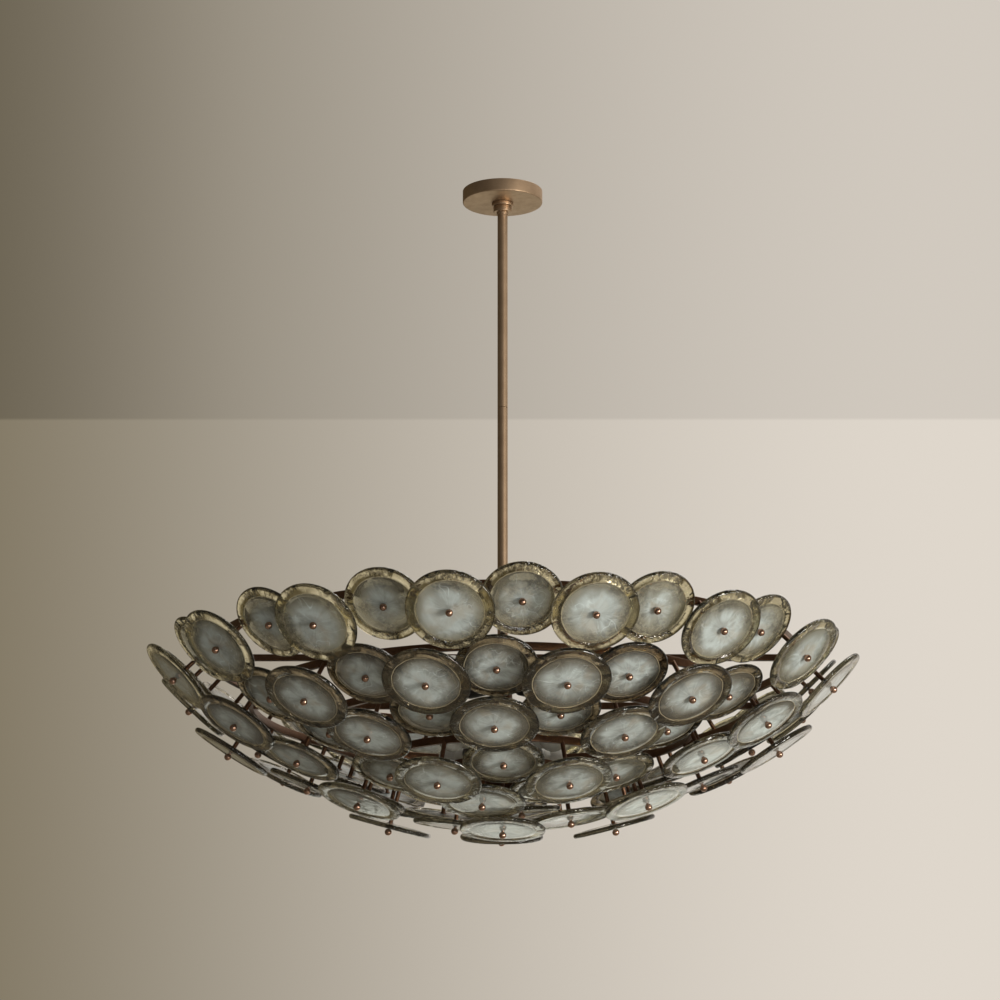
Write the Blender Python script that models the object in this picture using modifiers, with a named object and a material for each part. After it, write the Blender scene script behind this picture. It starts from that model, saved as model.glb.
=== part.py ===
"""Bowl chandelier of overlapping glass discs, hung on a rod from a round canopy.

Metres, +Z up. The origin is on the ceiling, in the middle of the strap that is screwed to it.
Five rows of discs make the bowl, with one disc at the bottom. Every row has an outer and an
inner layer, and each disc sits on a stem that stands square to the bowl on the row's hoop.
Four-armed spiders carry the hoops on a centre column, and two clusters hold the lamps.
"""

import math

import bmesh
import bpy
from mathutils import Matrix, Vector

# Clearances
GAP = 0.0003
OVERRUN = 0.002

# Ceiling strap, with a screw hole near each end
STRAP_END_ROOM = 0.010
STRAP_WIDTH = 0.026
STRAP_THICKNESS = 0.0025
STRAP_HOLE_RADIUS = 0.0025
STRAP_HOLE_INSET = 0.012

# Canopy, and the threaded collar that holds it up
CANOPY_DIAMETER = 0.127
CANOPY_HEIGHT = 0.020
CANOPY_WALL = 0.0015
CANOPY_EDGE = 0.0012
COLLAR_DIAMETER = 0.034
COLLAR_HEIGHT = 0.006
COLLAR_EDGE = 0.0008

# Swivel: a socket under the strap, and the flanged head that turns in it
SOCKET_DIAMETER = 0.025
SOCKET_WALL = 0.0025
SOCKET_FLOOR = 0.004
HEAD_FLANGE_HEIGHT = 0.005
HEAD_NECK_DIAMETER = 0.0134
CABLE_BORE_DIAMETER = 0.009
CABLE_SLOT_WIDTH = 0.010
CABLE_SLOT_DEPTH = 0.009

# Rod: a coupling, two lengths of tube, and the sleeve inside their joint
COUPLING_DIAMETER = 0.029
COUPLING_HEIGHT = 0.0095
COUPLING_TIP_DIAMETER = 0.0185
COUPLING_TIP_HEIGHT = 0.0043
COUPLING_EDGE = 0.0008
ROD_DIAMETER = 0.016
ROD_WALL = 0.0015
ROD_SEAT = 0.0035
ROD_SEAM_DROP = 0.361
SLEEVE_WALL = 0.0012
SLEEVE_LENGTH = 0.040

# Bowl: the middles of the outer discs, from the top row to the bottom disc
BOWL_RADIUS = 0.504
BOWL_TOP_DROP = 0.8153
BOWL_DEPTH = 0.2208
ROW_DISCS = (15, 13, 10, 7, 3)
ROW_RADIUS_SHARES = (1.0, 0.846, 0.638, 0.446, 0.212)
ROW_DEPTH_SHARES = (0.0, 0.390, 0.584, 0.850, 0.900)
ROW_SLOPE_SHARES = (2.2826, 1.4542, 1.0163, 0.7860, 0.4025)
ROW_TURNS_DEG = (-8.65, 12.63, -2.13, 26.1, -16.7)
FUSED_ROWS = 3
LAYER_STEP = 0.029
ROW_CLEARANCE = 0.001

# Glass discs
DISC_DIAMETERS = (0.1325, 0.1235)
DISC_THICKNESS = 0.0078
DISC_BORE_RADIUS = 0.0028

# Stems and their round nuts
STEM_LENGTH = 0.070
STEM_RADIUS = 0.0033
STUD_RADIUS = 0.0020
NUT_RADIUS = 0.0055
NUT_STAND_OFF = 0.0108

# Hoops and the spiders that carry them
HOOP_WIDTH = 0.008
HOOP_HEIGHT = 0.012
SPIDER_ARMS = 4
ARM_WIDTH = 0.008
ARM_HEIGHT = 0.010
SPIDER_BOSS_DIAMETER = 0.044
SPIDER_BOSS_HEIGHT = 0.014

# Centre column and the plug under it
COLUMN_DIAMETER = 0.030
COLUMN_WALL = 0.004
COLUMN_HEAD_DIAMETER = 0.038
COLUMN_HEAD_HEIGHT = 0.012
COLUMN_HEAD_RISE = 0.020
COLUMN_TAIL = 0.018
PLUG_LENGTH = 0.018
PLUG_FLANGE_HEIGHT = 0.004

# Lamp clusters, holders and lamps
CLUSTER_DIAMETER = 0.060
CLUSTER_HEIGHT = 0.024
LAMPS_PER_CLUSTER = 4
NIPPLE_RADIUS = 0.005
NIPPLE_LENGTH = 0.008
HOLDER_RADIUS = 0.015
HOLDER_LENGTH = 0.036
HOLDER_WALL = 0.002
HOLDER_FLOOR = 0.008
LAMP_NECK_LENGTH = 0.012
LAMP_RADIUS = 0.0225
LAMP_GLOBE_SHARES = ((0.80, 0.72), (1.06, 0.0), (0.80, -0.72))

# Facets round each kind of turned piece
CANOPY_SEGMENTS = 32
FITTING_SEGMENTS = 16
ROD_SEGMENTS = 12
DISC_SEGMENTS = 12
STEM_SEGMENTS = 5
LAMP_SEGMENTS = 8
HOOP_FACET = 0.098
FLAT_DEG = 0.5


def clear_scene():
    """Remove every object that the file starts with."""
    for thing in list(bpy.data.objects):
        bpy.data.objects.remove(thing, do_unlink=True)


def make_material(name, colour, roughness, metallic, transmission=0.0):
    """A Principled material of one colour."""
    material = bpy.data.materials.new(name)
    material.use_nodes = True
    shader = material.node_tree.nodes["Principled BSDF"]
    shader.inputs["Base Color"].default_value = (*colour, 1.0)
    shader.inputs["Roughness"].default_value = roughness
    shader.inputs["Metallic"].default_value = metallic
    shader.inputs["Transmission Weight"].default_value = transmission
    material.diffuse_color = (*colour, 1.0)
    return material


def make_collection(name):
    """A collection linked to the scene."""
    group = bpy.data.collections.new(name)
    bpy.context.scene.collection.children.link(group)
    return group


def turned(name, profile, segments, group, materials):
    """A profile of (radius, height) points turned round Z with a Screw modifier.

    An open profile starts and ends on the axis and runs down the outer side. A closed one, for
    a piece with a bore, starts off the axis and is joined back to its first point.
    """
    mesh = bpy.data.meshes.new(name)
    points = [(radius, 0.0, height) for radius, height in profile]
    edges = [(i, i + 1) for i in range(len(points) - 1)]
    if profile[0][0] > 0.0:
        edges.append((len(points) - 1, 0))
    mesh.from_pydata(points, edges, [])
    thing = bpy.data.objects.new(name, mesh)
    group.objects.link(thing)
    for material in materials:
        mesh.materials.append(material)
    screw = thing.modifiers.new("Turn", "SCREW")
    screw.steps = segments
    screw.render_steps = segments
    screw.use_merge_vertices = True
    screw.merge_threshold = 0.00001
    return thing


def box(name, size, group, materials):
    """A box of the given size, centred on its origin."""
    mesh = bpy.data.meshes.new(name)
    shape = bmesh.new()
    bmesh.ops.create_cube(shape, size=1.0)
    bmesh.ops.scale(shape, vec=size, verts=shape.verts)
    shape.to_mesh(mesh)
    shape.free()
    thing = bpy.data.objects.new(name, mesh)
    group.objects.link(thing)
    for material in materials:
        mesh.materials.append(material)
    return thing


def hide_as_helper(thing):
    """Keep a cutter or a fused copy out of the render."""
    thing.hide_render = True
    thing.display_type = "WIRE"


def combine(thing, others, operation):
    """Put a Boolean on a piece, with all the other pieces in one collection as its operand."""
    operands = bpy.data.collections.new(thing.name + "_operands")
    for other in others:
        operands.objects.link(other)
    modifier = thing.modifiers.new(operation.title(), "BOOLEAN")
    modifier.solver = "EXACT"
    modifier.operation = operation
    modifier.operand_type = "COLLECTION"
    modifier.collection = operands


def evaluated_mesh(thing):
    """The mesh that a piece and its modifiers make, with its flat faces whole again."""
    graph = bpy.context.evaluated_depsgraph_get()
    mesh = bpy.data.meshes.new_from_object(thing.evaluated_get(graph))
    shape = bmesh.new()
    shape.from_mesh(mesh)
    bmesh.ops.dissolve_limit(
        shape, angle_limit=math.radians(FLAT_DEG), verts=shape.verts, edges=shape.edges
    )
    shape.to_mesh(mesh)
    shape.free()
    return mesh


def copy_of(mesh, name, place, group):
    """Another object on the same mesh, at its own place."""
    thing = bpy.data.objects.new(name, mesh)
    thing.matrix_world = place
    group.objects.link(thing)
    return thing


def row_place(radius, height, tilt, turn):
    """Where local +Z leans out of the bowl and down by the tilt, at a turn round the rod."""
    swing = Matrix.Rotation(turn, 4, "Z")
    out = Matrix.Translation((0.0, -radius, height))
    lean = Matrix.Rotation(math.radians(90.0) + tilt, 4, "X")
    return swing @ out @ lean


def rod_profile(radius, half_length):
    """A plain round bar, centred on its origin."""
    return [(0.0, half_length), (radius, half_length), (radius, -half_length), (0.0, -half_length)]


def solid_disc(name, diameter, helpers, materials):
    """The mesh of a disc with no bore."""
    profile = rod_profile(diameter / 2, DISC_THICKNESS / 2)
    disc = turned(name, profile, DISC_SEGMENTS, helpers, materials)
    hide_as_helper(disc)
    return disc


def bored_disc(name, diameter, helpers, materials):
    """The mesh of a disc bored for the stud of its stem."""
    disc = solid_disc(name, diameter, helpers, materials)
    profile = rod_profile(DISC_BORE_RADIUS, DISC_THICKNESS)
    drill = turned(name + "_drill", profile, STEM_SEGMENTS, helpers, materials)
    hide_as_helper(drill)
    combine(disc, [drill], "DIFFERENCE")
    return evaluated_mesh(disc)


def nut_profile():
    """The upper part of a stem: its round nut, from the tip down to its widest place."""
    return [(0.0, NUT_STAND_OFF + NUT_RADIUS), (NUT_RADIUS, NUT_STAND_OFF)]


def stem_profile(length, seat):
    """A stem with its nut. The seat is the clearance on each side of a disc that is separate."""
    half = DISC_THICKNESS / 2
    profile = nut_profile()
    profile.append((STEM_RADIUS, half + seat))
    if seat > 0.0:
        profile.append((STUD_RADIUS, half + seat))
        profile.append((STUD_RADIUS, -half - seat))
        profile.append((STEM_RADIUS, -half - seat))
    profile.append((STEM_RADIUS, -length))
    profile.append((0.0, -length))
    return profile


class Row:
    """Sizes and places of one row of discs."""

    def __init__(self, index):
        self.number = index + 1
        self.discs = ROW_DISCS[index]
        self.radius = BOWL_RADIUS * ROW_RADIUS_SHARES[index]
        self.height = -BOWL_TOP_DROP - BOWL_DEPTH * ROW_DEPTH_SHARES[index]
        self.tilt = math.atan2(BOWL_RADIUS, BOWL_DEPTH * ROW_SLOPE_SHARES[index])
        self.turn = math.radians(ROW_TURNS_DEG[index])
        self.layer_step = LAYER_STEP
        self.stem = STEM_LENGTH
        self.spider_height = self.height + self.stem * math.sin(self.tilt)

    def facing(self):
        """The way the discs face, as how far out and how far up."""
        return Vector((math.cos(self.tilt), -math.sin(self.tilt)))

    def tuck_behind(self, upper):
        """Step the inner discs back until their rims pass behind the outer discs above."""
        rim = Vector((math.sin(self.tilt), math.cos(self.tilt))) * DISC_DIAMETERS[1] / 2
        apart = Vector((self.radius - upper.radius, self.height - upper.height)) + rim
        behind = apart.dot(upper.facing()) + DISC_THICKNESS + ROW_CLEARANCE
        self.layer_step = max(LAYER_STEP, behind / self.facing().dot(upper.facing()))

    def hang_under(self, upper):
        """Shorten the stems so that this hoop lies just under the spider of the row above."""
        drop = (ARM_HEIGHT + HOOP_HEIGHT) / 2 + GAP
        self.spider_height = upper.spider_height - drop
        self.stem = (self.spider_height - self.height) / math.sin(self.tilt)

    def hoop_radius(self):
        return self.radius - self.stem * math.cos(self.tilt)

    def hoop_segments(self):
        """Facets round the hoop, in fours so that a corner faces every arm."""
        quarter = self.hoop_radius() * math.radians(90.0) / HOOP_FACET
        return 4 * max(3, math.ceil(quarter))

    def place(self, layer, index):
        """Where disc number index of a layer sits: layer 0 is the outer one, 1 the inner one."""
        step = math.radians(360.0) / self.discs
        back = layer * self.layer_step
        return row_place(
            self.radius - back * math.cos(self.tilt),
            self.height + back * math.sin(self.tilt),
            self.tilt,
            self.turn + (index + layer / 2) * step,
        )

    def stem_length(self, layer):
        return self.stem - layer * self.layer_step


def bowl_rows():
    """The rows from the top of the bowl down. The last one hangs under the spider above it."""
    rows = [Row(index) for index in range(len(ROW_DISCS))]
    for upper, row in zip(rows, rows[1:]):
        row.tuck_behind(upper)
    rows[-1].hang_under(rows[-2])
    return rows


def hoop(row, name, group, materials):
    """A flat hoop of rectangular section, with its facets counted round the row."""
    outer = row.hoop_radius() + HOOP_WIDTH / 2
    inner = row.hoop_radius() - HOOP_WIDTH / 2
    half = HOOP_HEIGHT / 2
    profile = [(inner, half), (outer, half), (outer, -half), (inner, -half)]
    thing = turned(name, profile, row.hoop_segments(), group, materials)
    thing.location.z = row.spider_height
    return thing


def disc_on_stem(row, layer, helpers, metal, glass):
    """The mesh of a disc fused with its stem and nut."""
    name = f"unit_{row.number}_{layer}"
    disc = solid_disc(name, DISC_DIAMETERS[layer], helpers, [metal, glass])
    profile = stem_profile(row.stem_length(layer), 0.0)
    stem = turned(name + "_stem", profile, STEM_SEGMENTS, helpers, [metal, glass])
    hide_as_helper(stem)
    combine(disc, [stem], "UNION")
    return evaluated_mesh(disc)


def fused_row(row, parts, helpers, metal, glass):
    """One of the upper rows: its hoop, stems, nuts and discs in one piece."""
    units = []
    for layer in (0, 1):
        fused = disc_on_stem(row, layer, helpers, metal, glass)
        for index in range(row.discs):
            name = f"row_{row.number}_unit_{layer}_{index}"
            unit = copy_of(fused, name, row.place(layer, index), helpers)
            hide_as_helper(unit)
            units.append(unit)
    thing = hoop(row, f"disc_row_{row.number}", parts, [metal, glass])
    combine(thing, units, "UNION")
    return [thing]


def open_row(row, parts, helpers, metal, glass):
    """One of the lower rows: a hoop with its stems and nuts, and every disc a piece of its own."""
    stems = []
    discs = []
    for layer, word in ((0, "outer"), (1, "inner")):
        profile = stem_profile(row.stem_length(layer), GAP)
        stem = turned(f"row_{row.number}_{word}_stem", profile, STEM_SEGMENTS, helpers, [metal])
        stem_mesh = evaluated_mesh(stem)
        hide_as_helper(stem)
        pattern = f"row_{row.number}_{word}_disc"
        disc_mesh = bored_disc(pattern, DISC_DIAMETERS[layer], helpers, [glass])
        for index in range(row.discs):
            place = row.place(layer, index)
            stem = copy_of(stem_mesh, f"row_{row.number}_{word}_stem_{index}", place, helpers)
            hide_as_helper(stem)
            stems.append(stem)
            name = f"row_{row.number}_{word}_disc_{index + 1}"
            discs.append(copy_of(disc_mesh, name, place, parts))
    frame = hoop(row, f"row_{row.number}_frame", parts, [metal])
    combine(frame, stems, "UNION")
    return [frame, *discs]


def ceiling_strap(parts, helpers, metal):
    """The flat strap that two screws hold to the ceiling box."""
    length = CANOPY_DIAMETER - 2 * (CANOPY_WALL + STRAP_END_ROOM)
    strap = box("ceiling_strap", (length, STRAP_WIDTH, STRAP_THICKNESS), parts, [metal])
    strap.location.z = -STRAP_THICKNESS / 2
    holes = []
    for side in (-1, 1):
        top = STRAP_THICKNESS + OVERRUN
        profile = [(0.0, top), (STRAP_HOLE_RADIUS, top), (STRAP_HOLE_RADIUS, -top), (0.0, -top)]
        hole = turned(f"strap_hole_{side}", profile, FITTING_SEGMENTS, helpers, [metal])
        hole.location = (side * (length / 2 - STRAP_HOLE_INSET), 0.0, strap.location.z)
        hide_as_helper(hole)
        holes.append(hole)
    combine(strap, holes, "DIFFERENCE")
    return strap


def swivel_socket(parts, helpers, metal):
    """The socket under the strap. A slot in its side lets the cable in above the swivel head."""
    outer = SOCKET_DIAMETER / 2
    inner = outer - SOCKET_WALL
    hole = HEAD_NECK_DIAMETER / 2 + GAP
    top = -STRAP_THICKNESS - GAP
    bottom = -CANOPY_HEIGHT - COLLAR_HEIGHT
    floor = bottom + SOCKET_FLOOR
    profile = [(inner, top), (outer, top), (outer, bottom), (hole, bottom), (hole, floor),
               (inner, floor)]
    socket = turned("swivel_socket", profile, FITTING_SEGMENTS, parts, [metal])
    height = CABLE_SLOT_DEPTH + OVERRUN
    slot = box("cable_slot", (CABLE_SLOT_WIDTH, outer + OVERRUN, height), helpers, [metal])
    slot.location = (0.0, (outer + OVERRUN) / 2, top + OVERRUN - height / 2)
    hide_as_helper(slot)
    combine(socket, [slot], "DIFFERENCE")
    return socket


def canopy(parts, metal):
    """The shallow round cup against the ceiling, open at the top."""
    outer = CANOPY_DIAMETER / 2
    inner = outer - CANOPY_WALL
    hole = SOCKET_DIAMETER / 2 + GAP
    bottom = -CANOPY_HEIGHT
    floor = bottom + CANOPY_WALL
    profile = [(inner, 0.0), (outer, 0.0), (outer, bottom + CANOPY_EDGE),
               (outer - CANOPY_EDGE, bottom), (hole, bottom), (hole, floor), (inner, floor)]
    return turned("canopy", profile, CANOPY_SEGMENTS, parts, [metal])


def canopy_collar(parts, metal):
    """The ring on the socket that holds the canopy up."""
    outer = COLLAR_DIAMETER / 2
    inner = SOCKET_DIAMETER / 2 + GAP
    top = -CANOPY_HEIGHT - GAP
    bottom = -CANOPY_HEIGHT - COLLAR_HEIGHT
    profile = [(inner, top), (outer, top), (outer, bottom + COLLAR_EDGE),
               (outer - COLLAR_EDGE, bottom), (inner, bottom)]
    return turned("canopy_collar", profile, FITTING_SEGMENTS, parts, [metal])


def coupling_levels():
    """Heights of the coupling: its top, its shoulder, its tip and the end of the rod in it."""
    top = -CANOPY_HEIGHT - COLLAR_HEIGHT - GAP
    shoulder = top - COUPLING_HEIGHT
    tip = shoulder - COUPLING_TIP_HEIGHT
    return top, shoulder, tip, tip + ROD_SEAT


def swivel_head(parts, metal):
    """The flanged head on the socket's floor, bored for the cable. Its neck joins the coupling."""
    bore = CABLE_BORE_DIAMETER / 2
    neck = HEAD_NECK_DIAMETER / 2
    flange = SOCKET_DIAMETER / 2 - SOCKET_WALL - GAP
    bottom = -CANOPY_HEIGHT - COLLAR_HEIGHT + SOCKET_FLOOR + GAP
    top = bottom + HEAD_FLANGE_HEIGHT
    end = coupling_levels()[3] + GAP
    profile = [(bore, top), (flange, top), (flange, bottom), (neck, bottom), (neck, end),
               (bore, end)]
    return turned("swivel_head", profile, FITTING_SEGMENTS, parts, [metal])


def rod_coupling(parts, metal):
    """The stepped coupling under the collar, from the swivel's neck to the rod."""
    top, shoulder, tip, seat = coupling_levels()
    outer = COUPLING_DIAMETER / 2
    small = COUPLING_TIP_DIAMETER / 2
    neck = HEAD_NECK_DIAMETER / 2 + GAP
    rod = ROD_DIAMETER / 2 + GAP
    step = seat + GAP
    profile = [(neck, top), (outer - COUPLING_EDGE, top), (outer, top - COUPLING_EDGE),
               (outer, shoulder), (small, shoulder), (small, tip), (rod, tip), (rod, step),
               (neck, step)]
    return turned("rod_coupling", profile, FITTING_SEGMENTS, parts, [metal])


def tube(name, radius, wall, top, bottom, parts, metal):
    """A straight tube down the middle, open at both ends."""
    inner = radius - wall
    profile = [(inner, top), (radius, top), (radius, bottom), (inner, bottom)]
    return turned(name, profile, ROD_SEGMENTS, parts, [metal])


def rod(column_top, parts, metal):
    """The two lengths of the rod and the sleeve inside their joint."""
    radius = ROD_DIAMETER / 2
    seam = -ROD_SEAM_DROP
    end = column_top - COLUMN_HEAD_HEIGHT + GAP
    half_sleeve = SLEEVE_LENGTH / 2
    return [
        tube("upper_rod", radius, ROD_WALL, coupling_levels()[3], seam, parts, metal),
        tube("lower_rod", radius, ROD_WALL, seam - GAP, end, parts, metal),
        tube("rod_sleeve", radius - ROD_WALL - GAP, SLEEVE_WALL, seam + half_sleeve,
             seam - half_sleeve, parts, metal),
    ]


def column_levels(rows):
    """Top and bottom of the column, which carries the spiders from the first to the last."""
    top = rows[0].spider_height + COLUMN_HEAD_RISE
    bottom = rows[-2].spider_height - COLUMN_TAIL
    return top, bottom


def column(rows, parts, metal):
    """The column under the rod, with a wider head that the rod enters."""
    top, bottom = column_levels(rows)
    head = COLUMN_HEAD_DIAMETER / 2
    outer = COLUMN_DIAMETER / 2
    inner = outer - COLUMN_WALL
    seat = ROD_DIAMETER / 2 + GAP
    floor = top - COLUMN_HEAD_HEIGHT
    profile = [(seat, top), (head, top), (head, floor), (outer, floor), (outer, bottom),
               (inner, bottom), (inner, floor - GAP), (seat, floor - GAP)]
    return turned("centre_column", profile, FITTING_SEGMENTS, parts, [metal])


def spider(row, parts, helpers, metal):
    """A boss on the column with four arms that reach the inside of the row's hoop."""
    outer = SPIDER_BOSS_DIAMETER / 2
    inner = COLUMN_DIAMETER / 2 + GAP
    half = SPIDER_BOSS_HEIGHT / 2
    profile = [(inner, half), (outer, half), (outer, -half), (inner, -half)]
    boss = turned(f"spider_{row.number}", profile, FITTING_SEGMENTS, parts, [metal])
    corner = ARM_WIDTH / 2 * math.tan(math.radians(180.0) / row.hoop_segments())
    reach = row.hoop_radius() - HOOP_WIDTH / 2 - corner - GAP
    root = (inner + outer) / 2
    arms = []
    for index in range(SPIDER_ARMS):
        size = (reach - root, ARM_WIDTH, ARM_HEIGHT)
        arm = box(f"spider_{row.number}_arm_{index}", size, helpers, [metal])
        swing = Matrix.Rotation(math.radians(360.0) * index / SPIDER_ARMS, 4, "Z")
        middle = Matrix.Translation(((reach + root) / 2, 0.0, row.spider_height))
        arm.matrix_world = swing @ middle
        hide_as_helper(arm)
        arms.append(arm)
    boss.location.z = row.spider_height
    combine(boss, arms, "UNION")
    return boss


def lamp_cluster(word, upper, lower, parts, metal, shell, opal):
    """A drum on the column, halfway between two spiders, with lamps pointing out all round."""
    height = (upper.spider_height + lower.spider_height) / 2
    outer = CLUSTER_DIAMETER / 2
    half_facet = math.radians(180.0) / FITTING_SEGMENTS
    inner = COLUMN_DIAMETER / 2 / math.cos(half_facet) + GAP
    half = CLUSTER_HEIGHT / 2
    profile = [(inner, half), (outer, half), (outer, -half), (inner, -half)]
    drum = turned(f"{word}_cluster", profile, FITTING_SEGMENTS, parts, [metal])
    drum.location.z = height
    drum.rotation_euler.z = half_facet
    made = [drum]
    for index in range(LAMPS_PER_CLUSTER):
        turn = math.radians(360.0) * (index + 0.5) / LAMPS_PER_CLUSTER
        place = row_place(outer * math.cos(half_facet) + GAP, height, 0.0, turn)
        holder = lamp_holder(f"{word}_lamp_holder_{index + 1}", parts, shell)
        holder.matrix_world = place
        lamp = lamp_bulb(f"{word}_lamp_{index + 1}", parts, opal)
        lamp.matrix_world = place
        made += [holder, lamp]
    return made


def lamp_holder(name, parts, shell):
    """A cup with a nipple behind it, along +Z from the drum. The lamp's base goes in the cup."""
    mouth = NIPPLE_LENGTH + HOLDER_LENGTH
    floor = NIPPLE_LENGTH + HOLDER_FLOOR
    inner = HOLDER_RADIUS - HOLDER_WALL
    profile = [(0.0, floor), (inner, floor), (inner, mouth), (HOLDER_RADIUS, mouth),
               (HOLDER_RADIUS, NIPPLE_LENGTH), (NIPPLE_RADIUS, NIPPLE_LENGTH),
               (NIPPLE_RADIUS, 0.0), (0.0, 0.0)]
    return turned(name, profile, LAMP_SEGMENTS, parts, [shell])


def lamp_bulb(name, parts, opal):
    """A round lamp: its base in the holder, a short neck and a globe."""
    foot = NIPPLE_LENGTH + HOLDER_FLOOR + GAP
    base = HOLDER_RADIUS - HOLDER_WALL - GAP
    neck = NIPPLE_LENGTH + HOLDER_LENGTH + GAP
    middle = neck + LAMP_NECK_LENGTH + LAMP_RADIUS
    globe = [(LAMP_RADIUS * wide, middle + LAMP_RADIUS * high) for wide, high in LAMP_GLOBE_SHARES]
    profile = [(0.0, middle + LAMP_RADIUS), *globe, (base, neck), (base, foot), (0.0, foot)]
    return turned(name, profile, LAMP_SEGMENTS, parts, [opal])


def centre_unit(rows, parts, helpers, metal, glass):
    """The bottom disc on its stem, which is plugged into the foot of the column."""
    bottom = column_levels(rows)[1]
    height = -BOWL_TOP_DROP - BOWL_DEPTH
    half = DISC_THICKNESS / 2
    flange = COLUMN_DIAMETER / 2
    plug = flange - COLUMN_WALL - GAP
    under = height - (bottom - GAP)
    over = under - PLUG_LENGTH - GAP
    profile = nut_profile()
    profile += [(STEM_RADIUS, half + GAP), (STUD_RADIUS, half + GAP), (STUD_RADIUS, -half - GAP),
                (STEM_RADIUS, -half - GAP), (STEM_RADIUS, under + PLUG_FLANGE_HEIGHT),
                (flange, under + PLUG_FLANGE_HEIGHT), (flange, under), (plug, under),
                (plug, over), (0.0, over)]
    stem = turned("centre_stem", profile, LAMP_SEGMENTS, parts, [metal])
    place = row_place(0.0, height, math.radians(90.0), 0.0)
    stem.matrix_world = place
    disc_mesh = bored_disc("bottom_disc", DISC_DIAMETERS[0], helpers, [glass])
    return [stem, copy_of(disc_mesh, "centre_disc", place, parts)]


def hang_on(axis, things):
    """Parent the turning pieces to the empty on the swivel's axis, each where it is."""
    back = Matrix.Translation(axis.location).inverted()
    for thing in things:
        thing.parent = axis
        thing.matrix_parent_inverse = back


def build():
    clear_scene()
    parts = make_collection("chandelier")
    helpers = make_collection("cutters")
    bronze = make_material("bronze", (0.36, 0.20, 0.12), 0.35, 1.0)
    brass = make_material("aged_brass", (0.42, 0.31, 0.21), 0.38, 1.0)
    glass = make_material("smoked_glass", (0.52, 0.52, 0.44), 0.12, 0.0, 0.6)
    shell = make_material("lamp_holder", (0.06, 0.055, 0.05), 0.5, 0.0)
    opal = make_material("opal_lamp", (0.92, 0.90, 0.85), 0.25, 0.0)

    ceiling_strap(parts, helpers, brass)
    swivel_socket(parts, helpers, brass)
    canopy(parts, brass)
    canopy_collar(parts, brass)

    rows = bowl_rows()
    turning = [swivel_head(parts, brass), rod_coupling(parts, brass)]
    turning += rod(column_levels(rows)[0], parts, brass)
    turning.append(column(rows, parts, bronze))
    for row in rows[:-1]:
        turning.append(spider(row, parts, helpers, bronze))
    turning += lamp_cluster("upper", rows[0], rows[1], parts, bronze, shell, opal)
    turning += lamp_cluster("lower", rows[2], rows[3], parts, bronze, shell, opal)
    for row in rows[:FUSED_ROWS]:
        turning += fused_row(row, parts, helpers, bronze, glass)
    for row in rows[FUSED_ROWS:]:
        turning += open_row(row, parts, helpers, bronze, glass)
    turning += centre_unit(rows, parts, helpers, bronze, glass)

    axis = bpy.data.objects.new("swivel_axis", None)
    axis.location.z = coupling_levels()[0]
    parts.objects.link(axis)
    hang_on(axis, turning)


build()
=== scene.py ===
"""Looks of the bowl chandelier of overlapping glass discs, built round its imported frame.

Metres, +Z up, the origin on the ceiling. The script follows the chandelier from the ceiling
down, as it is hung and fitted together.
"""

import math

import bpy
import numpy as np
from mathutils import Euler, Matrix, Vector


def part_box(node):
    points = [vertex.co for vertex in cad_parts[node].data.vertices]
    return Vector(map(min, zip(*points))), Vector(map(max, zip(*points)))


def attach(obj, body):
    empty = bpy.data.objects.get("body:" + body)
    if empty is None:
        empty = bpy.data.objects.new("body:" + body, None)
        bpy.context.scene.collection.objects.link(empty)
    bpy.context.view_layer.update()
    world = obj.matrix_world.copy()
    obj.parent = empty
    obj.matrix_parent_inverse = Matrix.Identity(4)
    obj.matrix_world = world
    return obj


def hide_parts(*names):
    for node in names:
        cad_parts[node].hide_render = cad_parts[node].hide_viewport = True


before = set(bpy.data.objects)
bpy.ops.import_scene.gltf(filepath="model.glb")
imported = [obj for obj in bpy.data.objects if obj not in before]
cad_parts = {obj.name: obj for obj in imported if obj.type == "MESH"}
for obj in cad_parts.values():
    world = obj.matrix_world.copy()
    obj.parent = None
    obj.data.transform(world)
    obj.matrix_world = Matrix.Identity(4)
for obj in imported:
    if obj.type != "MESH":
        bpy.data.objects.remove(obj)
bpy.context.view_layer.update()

# Camera: far off and low, tilted up at the bowl, as the photograph was taken.
CAMERA_PLACE = (0.0, -6.683, -2.389)
CAMERA_PITCH_DEG = 15.69
CAMERA_YAW_DEG = 0.035
CAMERA_LENS_MM = 159.6
SENSOR_MM = 36.0

camera_data = bpy.data.cameras.new("camera")
camera_data.lens = CAMERA_LENS_MM
camera_data.sensor_width = SENSOR_MM
camera = bpy.data.objects.new("camera", camera_data)
camera.location = CAMERA_PLACE
camera.rotation_euler = Euler(
    (math.radians(90.0 + CAMERA_PITCH_DEG), 0.0, math.radians(CAMERA_YAW_DEG))
)
bpy.context.scene.collection.objects.link(camera)
bpy.context.scene.camera = camera


# Room: a plain pale floor far below the bowl, a warm grey wall that is the world itself, and
# four soft lamps. The wall is paler on the right, where the light comes from. The low lamp
# stands behind and gives the undersides of the lowest discs their sheen.
FLOOR_DROP = 3.20
FLOOR_REACH = 9.0
FLOOR_COLOUR = (0.54, 0.50, 0.43)
FLOOR_MOTTLE = 0.94
FLOOR_ROUGHNESS = 0.8
WALL_DARK = (0.173, 0.141, 0.082)
WALL_PALE = (0.739, 0.680, 0.605)
WALL_FADE = (-0.17, 0.11)
ROOM_DARK = (0.115, 0.105, 0.090)
ROOM_TURN = (-0.15, 0.55)
CEILING_RISE = (0.3002, 0.3011)
CEILING_CORNER = (-0.125, -0.050)
CEILING_SHADES = (0.66, 0.865)
LEAST_AHEAD = 0.5
ROOM_LIGHT = (0.21, 0.203, 0.185)
BOWL_MIDDLE = (0.0, 0.0, -0.9)


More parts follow.
